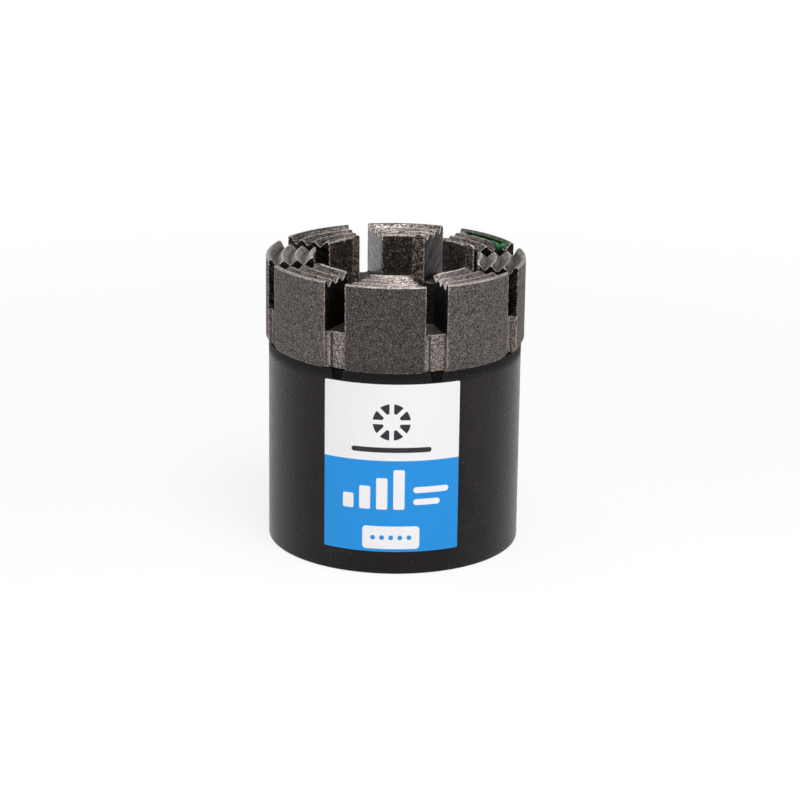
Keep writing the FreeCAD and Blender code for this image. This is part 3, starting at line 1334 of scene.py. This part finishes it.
def label_sheet():
    """Closed thin sheet round the blank, with slightly rounded corners."""
    near = np.array([0.0, 0.03, 0.1, 0.2, 0.32, label_corner])
    middle = np.linspace(1.5, label_height - 1.5, 33)
    heights = np.concatenate([near, middle, label_height - near[::-1]])
    inset = np.minimum(heights, label_height - heights)
    short = np.clip(label_corner - inset, 0, label_corner)
    half = label_width / 2 - (label_corner - np.sqrt(label_corner ** 2 - short ** 2))
    steps = np.linspace(-1, 1, 61)
    turn = label_middle - math.pi / 2 + half[:, None] * steps / shank_r
    z = np.broadcast_to(label_low_z + heights[:, None], turn.shape)
    faces = [polar(r, turn, z) for r in (shank_r - label_sunk, shank_r + label_thickness)]
    skin = Skin()
    for face in faces:
        skin.grid(face, 0)
    for edge in ((0, slice(None)), (-1, slice(None)), (slice(None), 0), (slice(None), -1)):
        skin.grid(np.stack([face[edge] for face in faces]), 0)
    return skin.weld("face_label", [film_finish])


face_label = label_sheet()
face_label.data.shade_smooth()
face_label.data.set_sharp_from_angle(angle=math.radians(40))
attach(face_label, "root")
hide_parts("label")
print("label:", len(face_label.data.polygons), "faces")

# %% [markdown]
# ## Paint in a groove
#
# Somebody marked one segment with green paint. It was brushed along the outer flank of
# the outermost groove, and at the end it ran over the crest beside it and stands there
# in two drops. Paint finds its own surface, so it isn't modelled face by face: a film,
# a strand and some balls are pushed together and remeshed into one body, which rounds
# the places where they meet as wet paint does.

# %% Paint finish
groove_floor_z = total_height - ring_depth
inner_crest_r = outer_ring_r - ring_pitch / 2
thin_z = 85.0
shade_z = 84.92


def paint_finish():
    """Thick green enamel: painted shade low in the groove and on the lower part of the drops, paler
    where it is thin, wet in the drops.
    """
    finish = Finish("green_enamel", {"Specular IOR Level": 0.05, "Coat Roughness": 0.03})
    cover = finish.noise(1.1, 3.0, 0.6)
    past_drops = finish.angle(finish.y, finish.x).between(0.11, 0.16)
    film = axis_distance(finish).between(35.3, 35.6) * past_drops
    thin = film * (finish.z + cover * 0.4).between(thin_z, thin_z + 0.15)
    # Painted shade: the film darker low in the groove, and the drops darker on their lower part
    shaded = film * finish.z.between(shade_z, shade_z - 0.16)
    low = shaded.most(finish.z.between(84.3, 83.8) * 0.6)
    colour = finish.mix(cover.between(0.35, 0.7), paint(3, 74, 30), paint(12, 120, 50))
    colour = finish.mix(low * 0.9, colour, paint(3, 24, 11))
    colour = finish.mix(thin * 0.3, colour, paint(84, 120, 80))
    finish.feed(finish.shader.inputs["Coat Weight"], (1 - film) * 0.55 + 0.02)
    finish.coat_with(colour, 0.3 + cover * 0.1 + film * 0.15)
    finish.bump(cover, 0.05)
    return finish.material


print("paint is ready to run")

# %% Film of paint on the groove's flank
flank_foot = np.array((outer_ring_r + ring_floor / 2, groove_floor_z))
flank_rise = np.array((land_edge_r, total_height)) - flank_foot
flank_out = np.array((-flank_rise[1], flank_rise[0])) / np.linalg.norm(flank_rise)


def film_on_flank(start, end, seed):
    """Closed film on the groove's outer flank, thin in the middle and thick at its edges."""
    count = 120
    rows = []
    for i in range(count + 1):
        t = i / count
        places = [Vector((seed, t * waves, waves)) for waves in (11.0, 31.0)]
        lift, swell = (noise.noise(place) for place in places)
        taper = min(1.0, t / 0.03, (1 - t) / 0.12) ** 0.5
        top = 0.75 + 0.06 * lift + 0.1 * max(0.0, 1 - t / 0.2)
        thick = (0.19 + 0.07 * swell) * taper
        climb = np.array([0.0, 0.0, 0.3, 0.7, 0.93, 1.0, 1.0]) * top
        proud = np.array([-0.12, thick * 2.2, thick, thick * 0.9, thick * 1.5, thick * 0.5, -0.12])
        section = flank_foot + np.outer(climb, flank_rise) + np.outer(proud, flank_out)
        rows.append(polar(section[:, 0], start + (end - start) * t, section[:, 1]))
    rows = np.array(rows)
    skin = Skin()
    skin.grid(np.concatenate([rows, rows[:, :1]], axis=1), 0)
    for cap in (rows[0], rows[-1]):
        skin.points.extend(cap.tolist())
        skin.faces.append(tuple(range(len(skin.points) - len(cap), len(skin.points))))
        skin.finishes.append(0)
    return skin.weld("film_on_flank", [])


print("flank of the groove:", round(float(np.linalg.norm(flank_rise)), 2), "mm long")

# %% Drops of paint, and how they flow together
voxel = 0.11


def drop_at(radius, turn, z, size, squash=(1.0, 1.0, 0.85)):
    """A ball of paint at a radius, a turn and a height."""
    mesh = bpy.data.meshes.new("drop")
    bm = bmesh.new()
    place = Matrix.Translation(polar(radius, turn, z) * mm)
    shape = place @ Matrix.Rotation(turn, 4, "Z") @ Matrix.Diagonal((*squash, 1.0))
    bmesh.ops.create_icosphere(bm, subdivisions=3, radius=size * mm, matrix=shape)
    bm.to_mesh(mesh)
    bm.free()
    return put("drop", mesh)


def flow(name, parts):
    """Joins overlapping closed parts into one wet-looking body."""
    bm = bmesh.new()
    for part in parts:
        bm.from_mesh(part.data)
        bpy.data.objects.remove(part)
    mesh = bpy.data.meshes.new(name)
    bm.to_mesh(mesh)
    bm.free()
    piece = put(name, mesh)
    remesh = piece.modifiers.new("flow", "REMESH")
    remesh.mode = "VOXEL"
    remesh.voxel_size = voxel * mm
    relax = piece.modifiers.new("relax", "SMOOTH")
    relax.factor = 0.5
    relax.iterations = 4
    keep_shape(piece)
    return piece


print("paint is remeshed at", voxel, "mm")

# %% Paint run
strand_balls = 12
film_start = math.radians(7.8)
film_end = math.radians(36.0)
noise_seed = 3.0

parts = [film_on_flank(film_start, film_end, noise_seed)]
for k in range(strand_balls + 1):
    t = k / strand_balls
    turn = math.radians(12.8 - 7.0 * t)
    radius = inner_crest_r - 0.1 - 0.15 * t
    height = total_height - 0.25 - 0.18 * t * t
    parts.append(drop_at(radius, turn, height, 0.3 + 0.2 * t * t))
wall_turn = math.asin(half_slot / inner_crest_r)
parts += [
    drop_at(32.65, wall_turn, 84.5, 0.82, (1.0, 0.75, 1.1)),
    drop_at(32.45, wall_turn, 83.8, 0.42, (0.8, 0.7, 1.3)),
    drop_at(33.6, wall_turn, 84.5, 0.5, (1.3, 0.8, 0.75)),
    drop_at(34.5, wall_turn + 0.012, 84.45, 0.85, (0.95, 1.0, 1.05)),
    drop_at(34.9, wall_turn + 0.004, 84.85, 0.45, (1.0, 0.9, 1.0)),
]
paint_run = flow("paint_run", parts)
paint_run.data.materials.append(paint_finish())
paint_run.data.shade_smooth()
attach(paint_run, "root")
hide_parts("paint_mark")
print("paint:", len(paint_run.data.polygons), "faces")

# %% [markdown]
# ## Floor, air and lamps
#
# The bit stands on a white sweep. More light would bleach the floor but the bit with
# it, so the floor glows only for the camera and for gloss, and still takes the shadow.
# The air does the same: white where it is seen, and softer as a light. In gloss it is
# darker above and on the right, as if a black card stood there, which keeps the steel
# black. The lamps are large and near, as soft boxes are: two above, one at each side and
# one in front. A small lamp would leave hard shadows and pinpoints of light on the grain.

# %% Floor
floor_half = 3.0
floor_glow = 0.80
glow_grows = (120.0, 420.0)
white = (1, 1, 1, 1)

floor_mesh = bpy.data.meshes.new("studio_floor")
signs = ((-1, -1), (1, -1), (1, 1), (-1, 1))
floor_corners = [(x * floor_half, y * floor_half, 0) for x, y in signs]
floor_mesh.from_pydata(floor_corners, [], [(0, 1, 2, 3)])
floor = put("studio_floor", floor_mesh)

matt_white = {"Base Color": paint(244, 244, 244), "Roughness": 0.9, "Specular IOR Level": 0.0}
sweep = Finish("white_sweep", matt_white)
glow = sweep.node("Emission", {}, {"Color": white, "Strength": 1.0})
plain = Wire(sweep, sweep.shader.outputs[0])
glowing = floor_glow + axis_distance(sweep).between(*glow_grows) * (1 - floor_glow)
shown = sweep.node("MixShader", {}, {0: sweep.seen() * glowing, 1: plain, 2: glow})
sweep.feed(sweep.tree.nodes["Material Output"].inputs["Surface"], shown)
floor_mesh.materials.append(sweep.material)
print("floor glows", floor_glow, "for the camera")

# %% Air and lamps
air_light = 0.12
ceiling_light = 0.20
flag_side = (0.985, 0.174, 0.0)
flag_depth = 0.65
lamp_target = Vector((0, 0, 0.05))

world = bpy.data.worlds.new("studio_air")
world.use_nodes = True
air = Shading(world.node_tree)
direction = air.node("TexCoord", {}, {}, "Generated")
upward = air.node("SeparateXYZ", {}, {0: direction}, "Z")
in_camera = air.ray("Camera")
in_gloss = ceiling_light + upward.between(0.50, 0.20) * (1 - ceiling_light)
to_flag = air.node("VectorMath", {"operation": "DOT_PRODUCT"}, {0: direction, 1: flag_side}, "Value")
in_gloss = in_gloss * (1 - to_flag.between(0.60, 0.90) * flag_depth)
strength = air_light + air.seen() * (in_gloss.most(in_camera) - air_light)
air_glow = air.node("Background", {}, {"Color": white, "Strength": strength})
air.feed(air.tree.nodes["World Output"].inputs["Surface"], air_glow)
bpy.context.scene.world = world


def soft_box(name, place, width, height, power):
    """Area lamp at a place in metres, turned to the middle of the bit."""
    data = bpy.data.lights.new(name, "AREA")
    data.shape = "RECTANGLE"
    data.size, data.size_y = width, height
    data.energy = power
    lamp = put(name, data)
    lamp.location = place
    aim = lamp_target - Vector(place)
    lamp.rotation_euler = aim.to_track_quat("-Z", "Y").to_euler()


soft_box("key_box", (0.02, -0.42, 0.80), 0.45, 0.45, 5.6)
soft_box("top_box", (-0.05, 0.10, 0.80), 0.5, 0.5, 1.5)
soft_box("left_box", (-0.70, -0.20, 0.35), 0.3, 0.6, 1.3)
soft_box("right_box", (0.62, -0.40, 0.35), 0.3, 0.6, 1.1)
soft_box("front_box", (-0.20, -0.85, 0.45), 0.5, 0.4, 0.9)

bpy.context.scene.view_settings.view_transform = "Standard"
